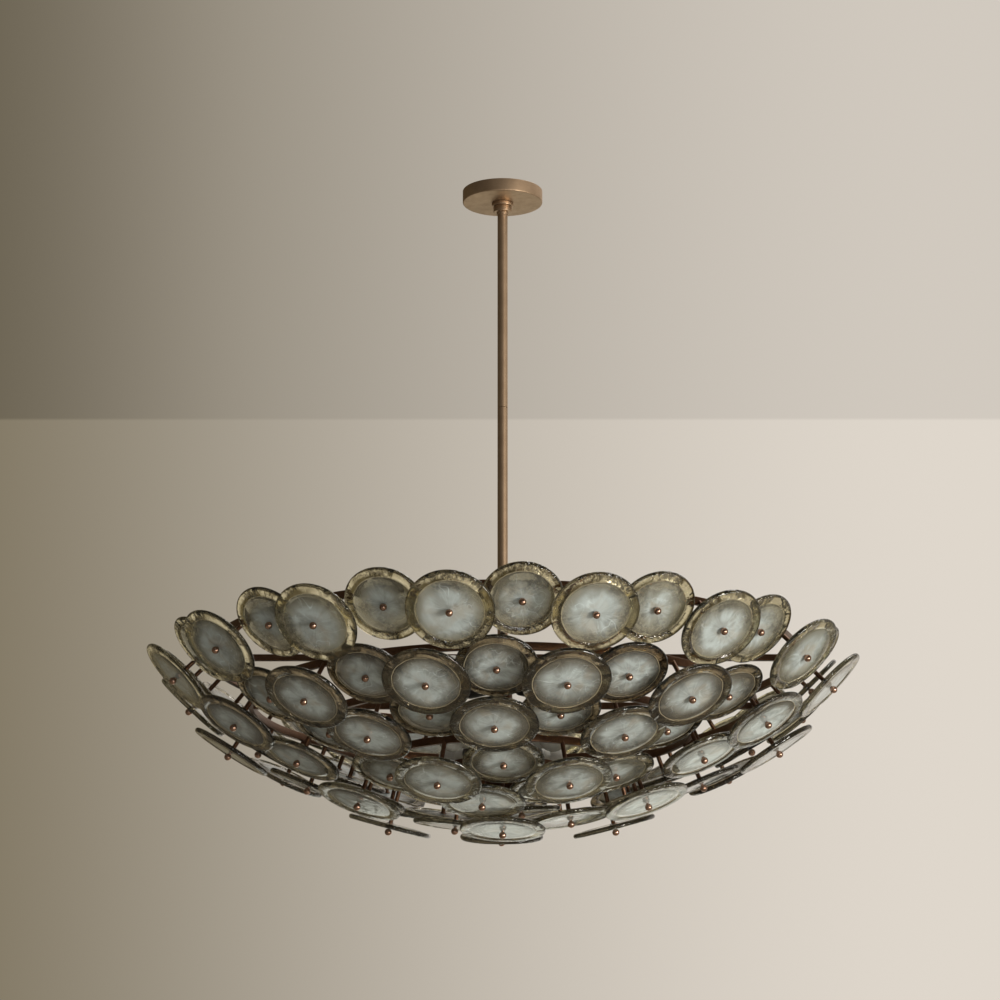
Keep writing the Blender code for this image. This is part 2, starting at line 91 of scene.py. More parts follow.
def node(tree, kind, **inputs):
    """A shader node with the given inputs set by name, spaces written as underscores.

    An input is given a number, a tuple or the socket that it is linked from.
    """
    made = tree.nodes.new(kind)
    for name, value in inputs.items():
        set_input(tree, made.inputs[name.replace("_", " ")], value)
    return made


def set_input(tree, socket, value):
    """Link a socket from another one, or set it to a number or a tuple."""
    if isinstance(value, bpy.types.NodeSocket):
        tree.links.new(value, socket)
    else:
        socket.default_value = value


def scalar(tree, operation, *values, clamp=False):
    """A Math node on up to three values, each a socket or a number."""
    made = tree.nodes.new("ShaderNodeMath")
    made.operation = operation
    made.use_clamp = clamp
    for socket, value in zip(made.inputs, values):
        set_input(tree, socket, value)
    return made.outputs[0]


def vectors(tree, operation, *values):
    """Outputs of a Vector Math node on one vector or two, each a socket or a tuple."""
    made = tree.nodes.new("ShaderNodeVectorMath")
    made.operation = operation
    for socket, value in zip(made.inputs, values):
        set_input(tree, socket, value)
    return made.outputs


def ramp(tree, value, low, high, to_low=0.0, to_high=1.0):
    """A smooth step of a value from low to high, as a new value from to_low to to_high."""
    made = node(
        tree, "ShaderNodeMapRange",
        Value=value, From_Min=low, From_Max=high, To_Min=to_low, To_Max=to_high,
    )
    made.interpolation_type = "SMOOTHSTEP"
    return made.outputs[0]


def blend_colours(tree, factor, first, second):
    """Two colours mixed by a factor, each colour a socket or three numbers."""
    made = tree.nodes.new("ShaderNodeMix")
    made.data_type = "RGBA"
    set_input(tree, made.inputs["Factor"], factor)
    for key, value in (("A", first), ("B", second)):
        colour = (*value, 1.0) if isinstance(value, tuple) else value
        set_input(tree, made.inputs[key], colour)
    return made.outputs["Result"]


def room_world():
    """World: the camera sees the wall, glass and metal a room, all else a plain soft light.

    The wall's paleness rises with the x of the direction in which it is seen. Where z over y
    is more than the ceiling's rise it is darker, most of all on the left. There y counts as no
    less than LEAST_AHEAD. The room is the wall ahead, where y is high, and fades to a dark studio
    on the camera's side.
    """
    world = bpy.data.worlds.new("room")
    bpy.context.scene.world = world
    world.use_nodes = True
    tree = world.node_tree
    tree.nodes.clear()
    place = tree.nodes.new("ShaderNodeTexCoord")
    parts = node(tree, "ShaderNodeSeparateXYZ", Vector=place.outputs["Generated"])
    across, ahead, up = (parts.outputs[axis] for axis in "XYZ")
    wall = blend_colours(tree, ramp(tree, across, *WALL_FADE), WALL_DARK, WALL_PALE)
    shade = ramp(tree, across, *CEILING_CORNER, *CEILING_SHADES)
    less = scalar(tree, "SUBTRACT", shade, 1.0)
    rise = scalar(tree, "DIVIDE", up, scalar(tree, "MAXIMUM", ahead, LEAST_AHEAD))
    shade = scalar(tree, "MULTIPLY_ADD", ramp(tree, rise, *CEILING_RISE), less, 1.0)
    wall = vectors(tree, "MULTIPLY", wall, shade)[0]
    room = blend_colours(tree, ramp(tree, ahead, *ROOM_TURN), ROOM_DARK, wall)
    rays = tree.nodes.new("ShaderNodeLightPath")
    glassy = scalar(
        tree, "MAXIMUM", rays.outputs["Is Transmission Ray"], rays.outputs["Is Glossy Ray"]
    )
    seen = blend_colours(tree, glassy, ROOM_LIGHT, room)
    seen = blend_colours(tree, rays.outputs["Is Camera Ray"], seen, wall)
    light = node(tree, "ShaderNodeBackground", Color=seen)
    out = tree.nodes.new("ShaderNodeOutputWorld")
    tree.links.new(light.outputs[0], out.inputs["Surface"])


def floor_material():
    """Pale matt floor with a faint mottle."""
    material = bpy.data.materials.new("pale_floor")
    material.use_nodes = True
    tree = material.node_tree
    shader = tree.nodes["Principled BSDF"]
    shader.inputs["Roughness"].default_value = FLOOR_ROUGHNESS
    noise = node(tree, "ShaderNodeTexNoise", Scale=1.5, Detail=3.0).outputs[0]
    darker = tuple(value * FLOOR_MOTTLE for value in FLOOR_COLOUR)
    mottle = blend_colours(tree, noise, FLOOR_COLOUR, darker)
    tree.links.new(mottle, shader.inputs["Base Color"])
    return material


def soft_lamp(name, place, aim, width, height, watts, colour):
    """An oblong area lamp at a place, turned to face the aim."""
    data = bpy.data.lights.new(name, "AREA")
    data.shape = "RECTANGLE"
    data.size = width
    data.size_y = height
    data.energy = watts
    data.color = colour
    lamp = bpy.data.objects.new(name, data)
    lamp.location = place
    away = np.array(place) - np.array(aim)
    lamp.rotation_euler = Euler((
        math.acos(away[2] / np.linalg.norm(away)),
        0.0,
        math.atan2(away[0], -away[1]),
    ))
    lamp.visible_camera = False
    bpy.context.scene.collection.objects.link(lamp)


room_world()
floor_mesh = bpy.data.meshes.new("floor")
corners = [(-1, -1), (1, -1), (1, 1), (-1, 1)]
floor_mesh.from_pydata(
    [(FLOOR_REACH * x, FLOOR_REACH * y, -FLOOR_DROP) for x, y in corners], [], [(0, 1, 2, 3)]
)
floor_mesh.materials.append(floor_material())
floor = bpy.data.objects.new("floor", floor_mesh)
bpy.context.scene.collection.objects.link(floor)
soft_lamp("lamp_right", (4.22, -3.62, -1.76), BOWL_MIDDLE, 2.0, 1.7, 257.0, (1.0, 0.97, 0.92))
soft_lamp("lamp_front", (0.82, -4.71, -2.17), BOWL_MIDDLE, 1.6, 0.9, 25.6, (0.97, 0.98, 1.0))
soft_lamp("lamp_high", (1.4, 0.6, 1.9), BOWL_MIDDLE, 1.0, 1.0, 30.0, (1.0, 0.97, 0.92))
soft_lamp("lamp_low", (0.46, 2.65, -2.04), BOWL_MIDDLE, 2.6, 1.36, 11.0, (0.97, 1.0, 0.88))
bpy.context.scene.view_settings.view_transform = "Standard"


# Ceiling strap and swivel: plain steel and brass turnings hidden in the canopy. They keep their
# CAD shapes and get the aged brass of the canopy.
AGED_BRASS = (0.49, 0.350, 0.228)
AGED_BRASS_DARK = (0.36, 0.245, 0.152)
PATINA_SCALE = 38.0
PATINA_SHARE = 0.5
ROUGHNESS_SPREAD = (-0.08, 0.12)
SCRATCH_DEPTH = 0.0002


def brushed_metal(name, colour, dark, roughness, stretch, scratch):
    """Brushed metal with a patina.

    Fine noise squeezed along the brushing gives the scratches, in both roughness and bump. Slow
    noise mixes the darker patina in. The stretch is the noise's scale along X, Y and Z.
    """
    material = bpy.data.materials.new(name)
    material.use_nodes = True
    tree = material.node_tree
    link = tree.links.new
    shader = tree.nodes["Principled BSDF"]
    shader.inputs["Metallic"].default_value = 1.0
    place = tree.nodes.new("ShaderNodeTexCoord").outputs["Object"]
    along = node(tree, "ShaderNodeMapping", Vector=place, Scale=stretch).outputs[0]
    brush = node(
        tree, "ShaderNodeTexNoise", Vector=along, Scale=1.0, Detail=6.0, Roughness=0.65
    ).outputs[0]
    slow = node(
        tree, "ShaderNodeTexNoise", Vector=place, Scale=PATINA_SCALE, Detail=4.0, Roughness=0.6
    ).outputs[0]
    streak = node(
        tree, "ShaderNodeMapRange", Value=brush, From_Min=0.3, From_Max=0.75, To_Max=0.55
    ).outputs[0]
    patina = node(tree, "ShaderNodeMapRange", Value=slow, From_Min=0.35, From_Max=0.70)
    both = scalar(tree, "MULTIPLY_ADD", patina.outputs[0], PATINA_SHARE, streak, clamp=True)
    link(blend_colours(tree, both, colour, dark), shader.inputs["Base Color"])
    smoothest, roughest = (roughness + spread for spread in ROUGHNESS_SPREAD)
    rough = node(tree, "ShaderNodeMapRange", Value=brush, To_Min=smoothest, To_Max=roughest)
    link(rough.outputs[0], shader.inputs["Roughness"])
    bump = node(tree, "ShaderNodeBump", Strength=scratch, Distance=SCRATCH_DEPTH, Height=brush)
    link(bump.outputs[0], shader.inputs["Normal"])
    return material


def dress(names, material):
    """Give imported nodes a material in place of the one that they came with."""
    for name in names:
        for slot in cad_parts[name].material_slots:
            slot.link = "OBJECT"
            slot.material = material


turned_brass = brushed_metal(
    "turned_brass", AGED_BRASS, AGED_BRASS_DARK, 0.44, (60.0, 60.0, 2600.0), 0.25
)
dress(["ceiling_strap", "swivel_socket", "swivel_head", "rod_sleeve"], turned_brass)


# Canopy: a spun brass cup with a rounded lower edge, aged to a grey brown and brushed round and
# round. It lies against the ceiling on its rim.
CANOPY_RADIUS = 0.0635
CANOPY_HEIGHT = 0.020
CANOPY_WALL = 0.0015
CANOPY_HOLE_RADIUS = 0.0129
CANOPY_EDGE = 0.0016
CANOPY_RIM_EDGE = 0.0003
ROUND_STEPS = 96


def arc(middle, radius, start_deg, end_deg, count):
    """Points on an arc: the middle plus the radius times (cosine, sine) of the angle."""
    angle = np.radians(np.linspace(start_deg, end_deg, count))
    return np.stack([middle[0] + radius * np.cos(angle), middle[1] + radius * np.sin(angle)], 1)


def turn_grid(profile, steps):
    """A closed outline of (radius, height) points turned round Z, as points and quads.

    Point (i, j) is (r_i cos a_j, r_i sin a_j, h_i), with a_j going evenly round the circle. The
    outline runs so that its outer side goes down, which makes the faces point outwards.
    """
    outline = np.asarray(profile, float)
    count = len(outline)
    angle = np.arange(steps) * 2.0 * np.pi / steps
    points = np.empty((count, steps, 3))
    points[..., 0] = outline[:, :1] * np.cos(angle)
    points[..., 1] = outline[:, :1] * np.sin(angle)
    points[..., 2] = outline[:, 1:]
    i, j = np.meshgrid(np.arange(count), np.arange(steps), indexing="ij")
    next_i = (i + 1) % count
    next_j = (j + 1) % steps
    quads = np.stack(
        [i * steps + j, next_i * steps + j, next_i * steps + next_j, i * steps + next_j], -1
    )
    return points.reshape(-1, 3), quads.reshape(-1, 4)


def close_poles(points, quads):
    """A shape as points, quads and triangles, with the points that fall together joined.

    A quad whose first and last corners are one point, or whose middle two are, lies on the axis
    and becomes a triangle. One that has both lies along the axis and is left out.
    """
    keys = np.round(points, 7)
    first, inverse = np.unique(keys, axis=0, return_index=True, return_inverse=True)[1:]
    joined = inverse.reshape(-1)[quads]
    starts_on_axis = joined[:, 0] == joined[:, 3]
    ends_on_axis = joined[:, 1] == joined[:, 2]
    whole = joined[~starts_on_axis & ~ends_on_axis]
    triangles = np.concatenate([
        joined[starts_on_axis & ~ends_on_axis][:, [0, 1, 2]],
        joined[ends_on_axis & ~starts_on_axis][:, [0, 1, 3]],
    ])
    return points[first], whole, triangles


def new_piece(name, shape, material):
    """A smooth piece from points, quads and triangles. Its object is at the origin."""
    points, quads, triangles = shape
    corners = np.concatenate([quads.ravel(), triangles.ravel()])
    starts = np.concatenate([
        4 * np.arange(len(quads)),
        4 * len(quads) + 3 * np.arange(len(triangles)),
    ])
    mesh = bpy.data.meshes.new(name)
    mesh.vertices.add(len(points))
    mesh.vertices.foreach_set("co", np.asarray(points, np.float32).ravel())
    mesh.loops.add(len(corners))
    mesh.loops.foreach_set("vertex_index", corners.astype(np.int32))
    mesh.polygons.add(len(starts))
    mesh.polygons.foreach_set("loop_start", starts.astype(np.int32))
    mesh.polygons.foreach_set("use_smooth", np.full(len(starts), True))
    mesh.materials.append(material)
    mesh.update(calc_edges=True)
    piece = bpy.data.objects.new(name, mesh)
    bpy.context.scene.collection.objects.link(piece)
    return piece


def turned_piece(name, profile, steps, material):
    """A turned piece, closed on the axis where its outline touches it."""
    return new_piece(name, close_poles(*turn_grid(profile, steps)), material)


def sharpen(piece, angle_deg=32.0):
    """Keep edges sharper than the angle crisp while the rest stays smooth."""
    piece.data.set_sharp_from_angle(angle=math.radians(angle_deg))


canopy_edge = arc(
    (CANOPY_RADIUS - CANOPY_EDGE, -CANOPY_HEIGHT + CANOPY_EDGE), CANOPY_EDGE, 0.0, -90.0, 7
)
canopy_outline = [
    (CANOPY_RADIUS - CANOPY_WALL, 0.0),
    (CANOPY_RADIUS - CANOPY_RIM_EDGE, 0.0),
    (CANOPY_RADIUS, -CANOPY_RIM_EDGE),
    *canopy_edge,
    (CANOPY_HOLE_RADIUS, -CANOPY_HEIGHT),
    (CANOPY_HOLE_RADIUS, -CANOPY_HEIGHT + CANOPY_WALL),
    (CANOPY_RADIUS - CANOPY_WALL, -CANOPY_HEIGHT + CANOPY_WALL),
]
spun_brass = brushed_metal(
    "spun_brass", AGED_BRASS, AGED_BRASS_DARK, 0.50, (90.0, 90.0, 2200.0), 0.20
)
canopy = turned_piece("canopy_cup", canopy_outline, ROUND_STEPS, spun_brass)
sharpen(canopy)
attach(canopy, "ceiling_mount")
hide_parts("canopy")


# Collar and coupling: two turned rings one under the other, the upper fixed and the lower on
# the rod, with softened edges and a fine dark line where they meet.
COLLAR_RADIUS = 0.017
COLLAR_TOP = -0.0203
COLLAR_FOOT = -0.026
SOCKET_RADIUS = 0.0125
RING_EDGE = 0.0007
COUPLING_RADIUS = 0.0145
COUPLING_TOP = -0.0263
COUPLING_SHOULDER = -0.0358
COUPLING_BORE_RADIUS = 0.0070
COUPLING_TIP_RADIUS = 0.00925
COUPLING_TIP = -0.0401
TIP_EDGE = 0.0005
ROD_RADIUS = 0.008
ROD_SEAT = 0.0037
ROD_FIT = 0.0002
FIT = 0.0003
FINE_EDGE = 0.0004


def upper_corner(radius, height, edge):
    """A quarter round, from the top face at this height down to the side at this radius."""
    return arc((radius - edge, height - edge), edge, 90.0, 0.0, 4)


def lower_corner(radius, height, edge):
    """A quarter round, from the side at this radius down to the bottom face at this height."""
    return arc((radius - edge, height + edge), edge, 0.0, -90.0, 4)


collar_outline = [
    (SOCKET_RADIUS + FIT, COLLAR_TOP),
    *upper_corner(COLLAR_RADIUS, COLLAR_TOP, RING_EDGE),
    *lower_corner(COLLAR_RADIUS, COLLAR_FOOT, RING_EDGE),
    (SOCKET_RADIUS + FIT, COLLAR_FOOT),
]
collar = turned_piece("collar_ring", collar_outline, ROUND_STEPS, turned_brass)
sharpen(collar)
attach(collar, "ceiling_mount")
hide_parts("canopy_collar")

coupling_outline = [
    (COUPLING_BORE_RADIUS, COUPLING_TOP),
    *upper_corner(COUPLING_RADIUS, COUPLING_TOP, RING_EDGE),
    *lower_corner(COUPLING_RADIUS, COUPLING_SHOULDER, RING_EDGE),
    (COUPLING_TIP_RADIUS + FINE_EDGE, COUPLING_SHOULDER),
    (COUPLING_TIP_RADIUS, COUPLING_SHOULDER - FINE_EDGE),
    *lower_corner(COUPLING_TIP_RADIUS, COUPLING_TIP, TIP_EDGE),
    (ROD_RADIUS + ROD_FIT, COUPLING_TIP),
    (ROD_RADIUS + ROD_FIT, COUPLING_TIP + ROD_SEAT),
    (COUPLING_BORE_RADIUS, COUPLING_TIP + ROD_SEAT),
]
coupling = turned_piece("coupling_ring", coupling_outline, ROUND_STEPS, turned_brass)
sharpen(coupling)
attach(coupling, "hanging_bowl")
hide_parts("rod_coupling")


# Rod: two lengths of drawn tube that meet at a fine seam. It is brushed along its length.
ROD_WALL = 0.0015
ROD_TOP = -0.0366
ROD_SEAM = -0.361
SEAM_UP = 0.00005
SEAM_DOWN = 0.00025
ROD_STEPS = 64
rod_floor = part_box("lower_rod")[0][2]
drawn_brass = brushed_metal(
    "drawn_brass", AGED_BRASS, AGED_BRASS_DARK, 0.50, (1500.0, 1500.0, 9.0), 0.22
)


def tube_outline(radius, wall, top, foot, edge):
    """A tube's section, with its ends broken by a small bevel."""
    return [
        (radius - wall, top),
        (radius - edge, top),
        (radius, top - edge),
        (radius, foot + edge),
        (radius - edge, foot),
        (radius - wall, foot),
    ]


for rod_name, top, foot in (
    ("upper_rod", ROD_TOP, ROD_SEAM + SEAM_UP),
    ("lower_rod", ROD_SEAM - SEAM_DOWN, rod_floor),
):
    outline = tube_outline(ROD_RADIUS, ROD_WALL, top, foot, FINE_EDGE)
    rod_piece = turned_piece(rod_name + "_tube", outline, ROD_STEPS, drawn_brass)
    sharpen(rod_piece)
    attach(rod_piece, "hanging_bowl")
    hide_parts(rod_name)


# Column and spiders: the bronze frame inside the bowl. The column has a turned head that takes
# the rod, and every spider is a boss with four flat arms that end at its hoop.
BRONZE = (0.190, 0.105, 0.062)
BRONZE_DARK = (0.090, 0.044, 0.025)
COLUMN_RADIUS = 0.015
HEAD_RADIUS = 0.019
HEAD_HEIGHT = 0.012
HEAD_RISE = 0.020
HEAD_EDGE = 0.0012
COLUMN_TAIL = 0.018
COLUMN_WALL = 0.004
BOWL_RADIUS = 0.504
BOWL_TOP_DROP = 0.8153
BOWL_DEPTH = 0.2208
ROW_DISCS = (15, 13, 10, 7, 3)
ROW_RADIUS_SHARES = (1.0, 0.846, 0.638, 0.446, 0.212)
ROW_DEPTH_SHARES = (0.0, 0.390, 0.584, 0.850, 0.900)
ROW_TILTS_DEG = (45.0, 57.5, 66.0, 71.0, 80.0)
ROW_TURNS_DEG = (-8.65, 12.63, -2.13, 26.1, -16.7)
LAYER_STEP = 0.029
STEM_LENGTH = 0.070
HOOP_WIDTH = 0.008
HOOP_HEIGHT = 0.012
ARM_WIDTH = 0.008
ARM_HEIGHT = 0.010
ARM_EDGE = 0.0009
ARM_ROOT = 0.002
ARM_BITE = 0.0006
BOSS_RADIUS = 0.022
BOSS_HEIGHT = 0.014
BOSS_EDGE = 0.001

satin_bronze = brushed_metal(
    "satin_bronze", BRONZE, BRONZE_DARK, 0.34, (420.0, 420.0, 420.0), 0.18
)


def row_sizes():
    """Radius and height of each row's disc middles, its tilt, stem length and hoop radius.

    A stem runs square to the disc, so the hoop is in by stem times cosine of the tilt and up by
    stem times sine. The last row's hoop hangs under the spider of the row above.
    """
    rows = []
    for index, discs in enumerate(ROW_DISCS):
        tilt = math.radians(ROW_TILTS_DEG[index])
        radius = BOWL_RADIUS * ROW_RADIUS_SHARES[index]
        height = -BOWL_TOP_DROP - BOWL_DEPTH * ROW_DEPTH_SHARES[index]
        stem = STEM_LENGTH
        if index == len(ROW_DISCS) - 1:
            under = rows[-1]["hoop_height"] - (ARM_HEIGHT + HOOP_HEIGHT) / 2 - FIT
            stem = (under - height) / math.sin(tilt)
        rows.append({
            "number": index + 1,
            "discs": discs,
            "tilt": tilt,
            "turn": math.radians(ROW_TURNS_DEG[index]),
            "radius": radius,
            "height": height,
            "stem": stem,
            "hoop_radius": radius - stem * math.cos(tilt),
            "hoop_height": height + stem * math.sin(tilt),
        })
    return rows


def grid_quads(count_i, count_j):
    """Quads between count_i rings of count_j points each, every ring closed on itself."""
    i, j = np.meshgrid(np.arange(count_i - 1), np.arange(count_j), indexing="ij")
    next_j = (j + 1) % count_j
    return np.stack([
        i * count_j + j, (i + 1) * count_j + j, (i + 1) * count_j + next_j, i * count_j + next_j
    ], -1).reshape(-1, 4)


def rounded_bar(length, width, height, edge):
    """A bar along +X from the origin, its section a rectangle with quarter-round corners.

    The section's points are the corner middles plus the edge times (cosine, sine). Copies of it
    stand along the bar, a slightly smaller one at each end, and one shrunk to a point closes it.
    """
    corners = [(1, 1, 0.0), (-1, 1, 90.0), (-1, -1, 180.0), (1, -1, 270.0)]
    section = np.concatenate([
        arc((sy * (width / 2 - edge), sz * (height / 2 - edge)), edge, start, start + 90.0, 4)
        for sy, sz, start in corners
    ])
    softened = (1.0 - 2.0 * edge / width, 1.0 - 2.0 * edge / height)
    along = np.array([0.0, 0.0, edge, length - edge, length, length])
    scale = np.array([(0.0, 0.0), softened, (1.0, 1.0), (1.0, 1.0), softened, (0.0, 0.0)])
    points = np.empty((len(along), len(section), 3))
    points[..., 0] = along[:, None]
    points[..., 1:] = section * scale[:, None, :]
    return close_poles(points.reshape(-1, 3), grid_quads(len(along), len(section))[:, ::-1])


def turned_about_z(points, angle):
    """Points turned by the angle round Z."""
    turn = np.array([
        [math.cos(angle), -math.sin(angle), 0.0],
        [math.sin(angle), math.cos(angle), 0.0],
        [0.0, 0.0, 1.0],
    ])
    return np.asarray(points) @ turn.T


def joined(shapes):
    """Several shapes of points, quads and triangles as one."""
    starts = np.cumsum([0] + [len(points) for points, _, _ in shapes])
    points = np.concatenate([points for points, _, _ in shapes])
    quads = np.concatenate([quads + start for (_, quads, _), start in zip(shapes, starts)])
    triangles = np.concatenate([tris + start for (_, _, tris), start in zip(shapes, starts)])
    return points, quads, triangles


rows = row_sizes()
column_top = rows[0]["hoop_height"] + HEAD_RISE
column_foot = rows[3]["hoop_height"] - COLUMN_TAIL
head_foot = column_top - HEAD_HEIGHT
column_outline = [
    (ROD_RADIUS + ROD_FIT, column_top),
    *upper_corner(HEAD_RADIUS, column_top, HEAD_EDGE),
    *lower_corner(HEAD_RADIUS, head_foot, HEAD_EDGE),
    (COLUMN_RADIUS, head_foot),
    (COLUMN_RADIUS, column_foot + FINE_EDGE),
    (COLUMN_RADIUS - FINE_EDGE, column_foot),
    (COLUMN_RADIUS - COLUMN_WALL, column_foot),
    (COLUMN_RADIUS - COLUMN_WALL, head_foot - FIT),
    (ROD_RADIUS + ROD_FIT, head_foot - FIT),
]
column = turned_piece("column_tube", column_outline, ROD_STEPS, satin_bronze)
sharpen(column)
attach(column, "hanging_bowl")
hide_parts("centre_column")

for row in rows[:-1]:
    middle = row["hoop_height"]
    boss_outline = [
        (COLUMN_RADIUS + ROD_FIT, middle + BOSS_HEIGHT / 2),
        *upper_corner(BOSS_RADIUS, middle + BOSS_HEIGHT / 2, BOSS_EDGE),
        *lower_corner(BOSS_RADIUS, middle - BOSS_HEIGHT / 2, BOSS_EDGE),
        (COLUMN_RADIUS + ROD_FIT, middle - BOSS_HEIGHT / 2),
    ]
    shapes = [close_poles(*turn_grid(boss_outline, ROD_STEPS))]
    reach = row["hoop_radius"] - HOOP_WIDTH / 2 + ARM_BITE
    start = BOSS_RADIUS - ARM_ROOT
    arm_points, *arm_faces = rounded_bar(reach - start, ARM_WIDTH, ARM_HEIGHT, ARM_EDGE)
    arm_points = arm_points + np.array([start, 0.0, middle])
    for quarter in range(4):
        shapes.append((turned_about_z(arm_points, quarter * math.pi / 2), *arm_faces))
    name = f"spider_{row['number']}"
    spider = new_piece(name + "_arms", joined(shapes), satin_bronze)
    sharpen(spider)
    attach(spider, "hanging_bowl")
    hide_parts(name)


# Lamp clusters, holders and lamps: drums on the column, black holders screwed into them, and
# round opal lamps, unlit. The discs hide all of these from most sides.
CLUSTER_RADIUS = 0.030
CLUSTER_HEIGHT = 0.024
CLUSTER_EDGE = 0.0015
CLUSTER_FACETS = 16
NIPPLE_RADIUS = 0.005
NIPPLE_LENGTH = 0.008
HOLDER_RADIUS = 0.015
HOLDER_LENGTH = 0.036
HOLDER_WALL = 0.002
HOLDER_FLOOR = 0.008
HOLDER_SHOULDER = 0.003
GROOVES = 5
GROOVE_INSET = 0.008
GROOVE_STEP = 0.0036
GROOVE_DEPTH = 0.0006
GROOVE_HALVES = (0.0010, 0.0005)
LAMP_NECK = 0.012
LAMP_RADIUS = 0.0228
LAMP_WAIST = 0.0035
LAMP_STEPS = 48
HOLDER_BLACK = (0.045, 0.042, 0.038)
OPAL_WHITE = (0.80, 0.78, 0.72)


def moulded_black():
    """Black moulded plastic: fine grain in the bump and a slow change of gloss."""
    material = bpy.data.materials.new("moulded_black")
    material.use_nodes = True
    tree = material.node_tree
    link = tree.links.new
    shader = tree.nodes["Principled BSDF"]
    place = tree.nodes.new("ShaderNodeTexCoord").outputs["Object"]
    grain = node(tree, "ShaderNodeTexNoise", Vector=place, Scale=1400.0, Detail=2.0).outputs[0]
    slow = node(tree, "ShaderNodeTexNoise", Vector=place, Scale=60.0, Detail=3.0).outputs[0]
    paler = tuple(value * 1.7 for value in HOLDER_BLACK)
    link(blend_colours(tree, slow, HOLDER_BLACK, paler), shader.inputs["Base Color"])
    rough = node(tree, "ShaderNodeMapRange", Value=slow, To_Min=0.38, To_Max=0.60)
    link(rough.outputs[0], shader.inputs["Roughness"])
    bump = node(tree, "ShaderNodeBump", Strength=0.25, Distance=0.0001, Height=grain)
    link(bump.outputs[0], shader.inputs["Normal"])
    return material


def opal_glass():
    """White opal lamp glass: a faint cloud in the colour under a smooth gloss."""
    material = bpy.data.materials.new("opal_lamp_glass")
    material.use_nodes = True
    tree = material.node_tree
    link = tree.links.new
    shader = tree.nodes["Principled BSDF"]
    place = tree.nodes.new("ShaderNodeTexCoord").outputs["Object"]
    milk = node(
        tree, "ShaderNodeTexNoise", Vector=place, Scale=45.0, Detail=4.0, Distortion=0.6
    ).outputs[0]
    greyer = tuple(value * 0.88 for value in OPAL_WHITE)
    link(blend_colours(tree, milk, OPAL_WHITE, greyer), shader.inputs["Base Color"])
    rough = node(tree, "ShaderNodeMapRange", Value=milk, To_Min=0.14, To_Max=0.24)
    link(rough.outputs[0], shader.inputs["Roughness"])
    return material


def lean_out(points, radius, height, tilt, turn):
    """Points made along +Z, leant out of the bowl, moved to their ring and turned round Z.

    Local +Z becomes the direction that is the tilt below the horizontal, away from the rod. The
    place is at the radius on the -Y side, and the turn swings it round.
    """
    lean = math.radians(90.0) + tilt
    about_x = np.array([
        [1.0, 0.0, 0.0],
        [0.0, math.cos(lean), -math.sin(lean)],
        [0.0, math.sin(lean), math.cos(lean)],
    ])
    placed = np.asarray(points) @ about_x.T + np.array([0.0, -radius, height])
    return turned_about_z(placed, turn)


black_holder = moulded_black()
lamp_glass = opal_glass()
mouth = NIPPLE_LENGTH + HOLDER_LENGTH
holder_bore = HOLDER_RADIUS - HOLDER_WALL
lip, floor_half = GROOVE_HALVES
grooves = []
for groove in range(GROOVES):
    level = mouth - GROOVE_INSET - groove * GROOVE_STEP
    grooves += [
        (HOLDER_RADIUS, level + lip),
        (HOLDER_RADIUS - GROOVE_DEPTH, level + floor_half),
        (HOLDER_RADIUS - GROOVE_DEPTH, level - floor_half),
        (HOLDER_RADIUS, level - lip),
    ]
holder_outline = [
    (0.0, NIPPLE_LENGTH + HOLDER_FLOOR),
    (holder_bore, NIPPLE_LENGTH + HOLDER_FLOOR),
    (holder_bore, mouth),
    (HOLDER_RADIUS - GROOVE_DEPTH, mouth),
    (HOLDER_RADIUS, mouth - GROOVE_DEPTH),
    *grooves,
    (HOLDER_RADIUS, NIPPLE_LENGTH + HOLDER_SHOULDER),
    (HOLDER_RADIUS - HOLDER_SHOULDER, NIPPLE_LENGTH),
    (NIPPLE_RADIUS, NIPPLE_LENGTH),
    (NIPPLE_RADIUS, 0.0),
    (0.0, 0.0),
]
lamp_foot = NIPPLE_LENGTH + HOLDER_FLOOR + FIT
lamp_neck = mouth + FIT
lamp_base = holder_bore - FIT
lamp_middle = lamp_neck + LAMP_NECK + LAMP_RADIUS
globe = arc((0.0, lamp_middle), LAMP_RADIUS, 90.0, -52.0, 26)
globe[0, 0] = 0.0
waist = arc((lamp_base + LAMP_WAIST, lamp_neck + LAMP_WAIST), LAMP_WAIST, 135.0, 180.0, 4)
lamp_outline = [*globe, *waist, (lamp_base, lamp_neck), (lamp_base, lamp_foot), (0.0, lamp_foot)]
facet_inset = CLUSTER_RADIUS * math.cos(math.pi / CLUSTER_FACETS)
for word, upper, lower in (("upper", rows[0], rows[1]), ("lower", rows[2], rows[3])):
    middle = (upper["hoop_height"] + lower["hoop_height"]) / 2
    drum_outline = [
        (COLUMN_RADIUS + ROD_FIT, middle + CLUSTER_HEIGHT / 2),
        *upper_corner(facet_inset, middle + CLUSTER_HEIGHT / 2, CLUSTER_EDGE),
        *lower_corner(facet_inset, middle - CLUSTER_HEIGHT / 2, CLUSTER_EDGE),
        (COLUMN_RADIUS + ROD_FIT, middle - CLUSTER_HEIGHT / 2),
    ]
    drum = turned_piece(word + "_cluster_drum", drum_outline, ROD_STEPS, satin_bronze)
    sharpen(drum)
    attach(drum, "hanging_bowl")
    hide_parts(word + "_cluster")
    for index in range(4):
        turn = math.radians(90.0) * (index + 0.5)
        for kind, outline, material, slot_name in (
            ("lamp_holder", holder_outline, black_holder, "lamp_holder"),
            ("lamp", lamp_outline, lamp_glass, "opal_lamp"),
        ):
            points, *faces = close_poles(*turn_grid(outline, LAMP_STEPS))
            points = lean_out(points, facet_inset + FIT, middle, 0.0, turn)
            name = f"{word}_{kind}_{index + 1}"
            piece = new_piece(name + "_shell", (points, *faces), material)
            sharpen(piece)
            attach(piece, "hanging_bowl")
            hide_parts(name)


